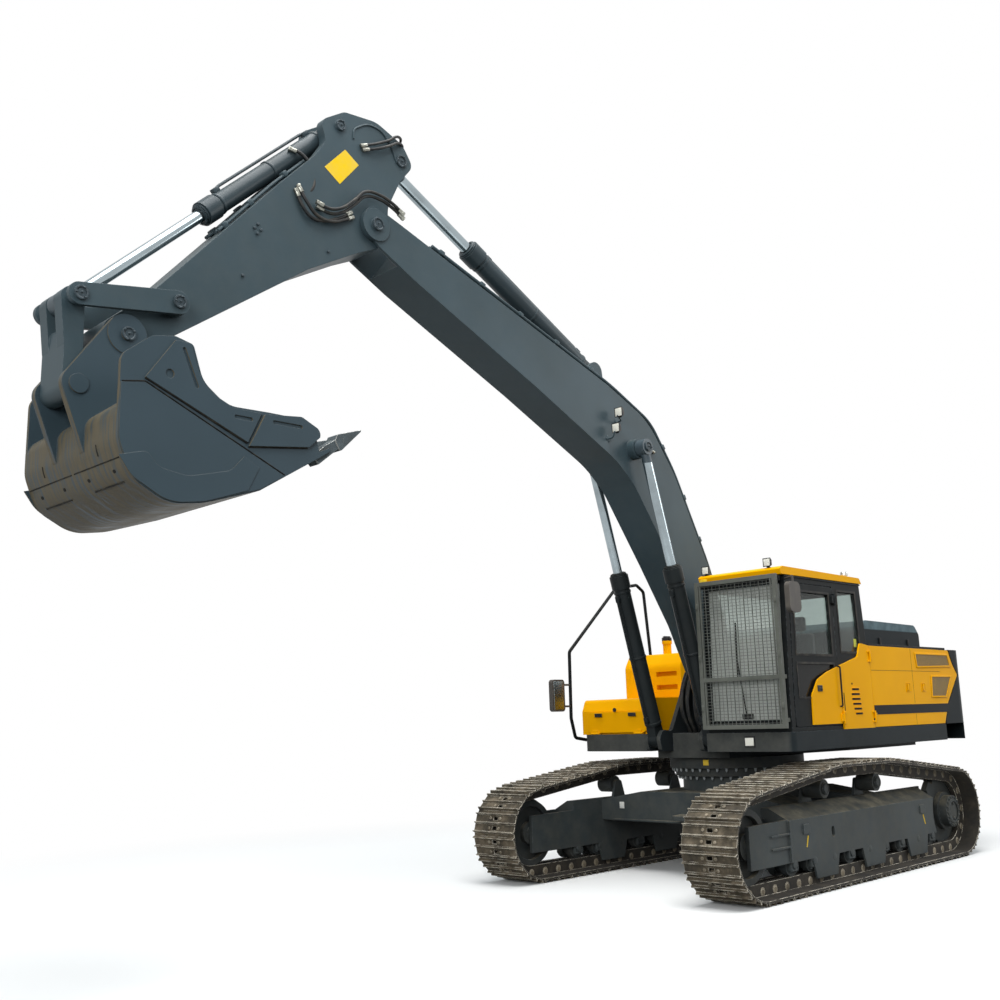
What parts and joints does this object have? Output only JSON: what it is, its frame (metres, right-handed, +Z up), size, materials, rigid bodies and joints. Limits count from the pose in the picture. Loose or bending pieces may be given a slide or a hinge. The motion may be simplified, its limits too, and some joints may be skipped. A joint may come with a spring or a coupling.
{
  "type": "crawler excavator",
  "caption": "Crawler excavator with a slewing upper body, cab, boom, arm and bucket moved by hydraulic cylinders with a bucket linkage.",
  "frame": {"origin": "on the ground under the middle of the machine's whole length with its boom as stored, on the middle plane between the tracks", "axes": "+X forward, towards the bucket; +Y to the machine's left, the cab's side; +Z up"},
  "size_m": [11.8221, 3.34, 7.0968],
  "materials": {
    "dark_steel": "satin dark grey paint",
    "worn_steel": "worn steel with soil",
    "cast": "painted casting",
    "yellow": "gloss yellow paint",
    "black_steel": "satin black paint",
    "plastic": "moulded plastic",
    "glass": "tinted glass",
    "fabric": "woven cloth",
    "grey_steel": "satin slate-grey paint",
    "chrome": "polished chrome"
  },
  "bodies": {
    "undercarriage": {"carbody": "dark_steel", "slew_ring_lower": "dark_steel", "track_frame_left": "dark_steel", "track_frame_right": "dark_steel", "track_left": "worn_steel", "track_right": "worn_steel", "idlers": "cast", "sprockets": "cast", "final_drives": "dark_steel", "track_rollers": "cast", "carrier_rollers": "cast"},
    "upper": {"slew_ring_upper": "dark_steel", "main_frame": "dark_steel", "counterweight": "cast", "engine_block": "cast", "side_panel_left": "yellow", "body_posts": "dark_steel", "top_cover": "dark_steel", "fuel_tank": "yellow", "hydraulic_tank": "black_steel", "toolbox": "yellow", "handrail": "black_steel", "mirrors": "plastic", "cab_frame": "black_steel", "cab_roof": "yellow", "cab_glass": "glass", "windscreen_guard": "black_steel", "seat": "fabric", "control_consoles": "plastic"},
    "cab_door": {"cab_door": "black_steel", "cab_door_glass": "glass", "cab_door_skin": "yellow"},
    "side_door_left": {"side_door_left": "yellow"},
    "side_door_right": {"side_door_right": "yellow"},
    "engine_hood": {"engine_hood": "dark_steel"},
    "toolbox_door": {"toolbox_door": "yellow"},
    "boom": {"boom": "grey_steel"},
    "boom_cylinder_barrels": {"boom_cylinder_barrels": "grey_steel"},
    "boom_cylinder_rods": {"boom_cylinder_rods": "chrome"},
    "arm": {"arm": "grey_steel"},
    "arm_cylinder_barrel": {"arm_cylinder_barrel": "grey_steel"},
    "arm_cylinder_rod": {"arm_cylinder_rod": "chrome"},
    "bucket_cylinder_barrel": {"bucket_cylinder_barrel": "grey_steel"},
    "bucket_cylinder_rod": {"bucket_cylinder_rod": "chrome"},
    "arm_links": {"arm_links": "grey_steel"},
    "bucket_link": {"bucket_link": "grey_steel"},
    "bucket": {"bucket": "worn_steel", "bucket_teeth": "worn_steel"}
  },
  "joints": [
    {"name": "slew", "type": "hinge", "parent": "undercarriage", "child": "upper", "pos_m": [-2.311, 0, 1.1], "axis": [0, 0, 1], "continuous": true},
    {"name": "boom_lift", "type": "hinge", "parent": "upper", "child": "boom", "pos_m": [-2.011, 0, 2.11], "axis": [0, -1, 0], "range_deg": [-75, 24]},
    {"name": "boom_cylinder_swing", "type": "hinge", "parent": "upper", "child": "boom_cylinder_barrels", "pos_m": [-1.311, 0, 1.46], "axis": [0, -1, 0], "range_deg": [-75.05, 24.05]},
    {"name": "boom_cylinder_stroke", "type": "slide", "parent": "boom_cylinder_barrels", "child": "boom_cylinder_rods", "axis": [0.2851, 0, 0.9585], "range_m": [-1.12774, 0.36224]},
    {"name": "arm_swing", "type": "hinge", "parent": "boom", "child": "arm", "pos_m": [3.1458, 0, 6.06695], "axis": [0, 1, 0], "range_deg": [-44, 72]},
    {"name": "arm_cylinder_swing", "type": "hinge", "parent": "boom", "child": "arm_cylinder_barrel", "pos_m": [0.0452, 0, 5.37681], "axis": [0, 1, 0], "range_deg": [-2.69, 4.37]},
    {"name": "arm_cylinder_stroke", "type": "slide", "parent": "arm_cylinder_barrel", "child": "arm_cylinder_rod", "axis": [0.8869, 0, 0.462], "range_m": [-0.51652, 0.84395]},
    {"name": "bucket_curl", "type": "hinge", "parent": "arm", "child": "bucket", "pos_m": [5.4478, 0, 4.50837], "axis": [0, 1, 0], "range_deg": [-150, 10]},
    {"name": "arm_link_swing", "type": "hinge", "parent": "arm", "child": "arm_links", "pos_m": [5.07569, 0, 4.83277], "axis": [0, 1, 0], "range_deg": [-102.05, 6.85]},
    {"name": "bucket_link_swing", "type": "hinge", "parent": "arm_links", "child": "bucket_link", "pos_m": [5.82507, 0, 4.71064], "axis": [0, 1, 0], "range_deg": [-4.54, 67.4]},
    {"name": "bucket_cylinder_swing", "type": "hinge", "parent": "arm", "child": "bucket_cylinder_barrel", "pos_m": [3.5096, 0, 6.90751], "axis": [0, 1, 0], "range_deg": [-7.55, 0.55]},
    {"name": "bucket_cylinder_stroke", "type": "slide", "parent": "bucket_cylinder_barrel", "child": "bucket_cylinder_rod", "axis": [0.7254, 0, -0.6883], "range_m": [-1.17748, 0.08037]},
    {"name": "cab_door_hinge", "type": "hinge", "parent": "upper", "child": "cab_door", "pos_m": [-2.138, 1.5005, 2.3], "axis": [0, 0, 1], "range_deg": [0, 150]},
    {"name": "side_door_left_hinge", "type": "hinge", "parent": "upper", "child": "side_door_left", "pos_m": [-2.838, 1.5005, 1.97], "axis": [0, 0, -1], "range_deg": [0, 75]},
    {"name": "side_door_right_hinge", "type": "hinge", "parent": "upper", "child": "side_door_right", "pos_m": [-3.354, -1.5005, 1.97], "axis": [0, 0, 1], "range_deg": [0, 90]},
    {"name": "engine_hood_hinge", "type": "hinge", "parent": "upper", "child": "engine_hood", "pos_m": [-4.913, 0, 2.4555], "axis": [0, -1, 0], "range_deg": [0, 55]},
    {"name": "toolbox_door_hinge", "type": "hinge", "parent": "upper", "child": "toolbox_door", "pos_m": [-1.3, -0.9, 1.5313], "axis": [0, 1, 0], "range_deg": [0, 85]}
  ],
  "couplings": [
    {"joint": "boom_cylinder_swing", "follows": "boom_lift", "ratio": 1},
    {"joint": "boom_cylinder_stroke", "follows": "boom_lift", "m_per_rad": 0.86},
    {"joint": "arm_cylinder_swing", "follows": "arm_swing", "ratio": 0.06},
    {"joint": "arm_cylinder_stroke", "follows": "arm_swing", "m_per_rad": 0.67},
    {"joint": "arm_link_swing", "follows": "bucket_curl", "ratio": 0.68},
    {"joint": "bucket_link_swing", "follows": "bucket_curl", "ratio": -0.449},
    {"joint": "bucket_cylinder_swing", "follows": "bucket_curl", "ratio": 0.05},
    {"joint": "bucket_cylinder_stroke", "follows": "bucket_curl", "m_per_rad": 0.449}
  ]
}
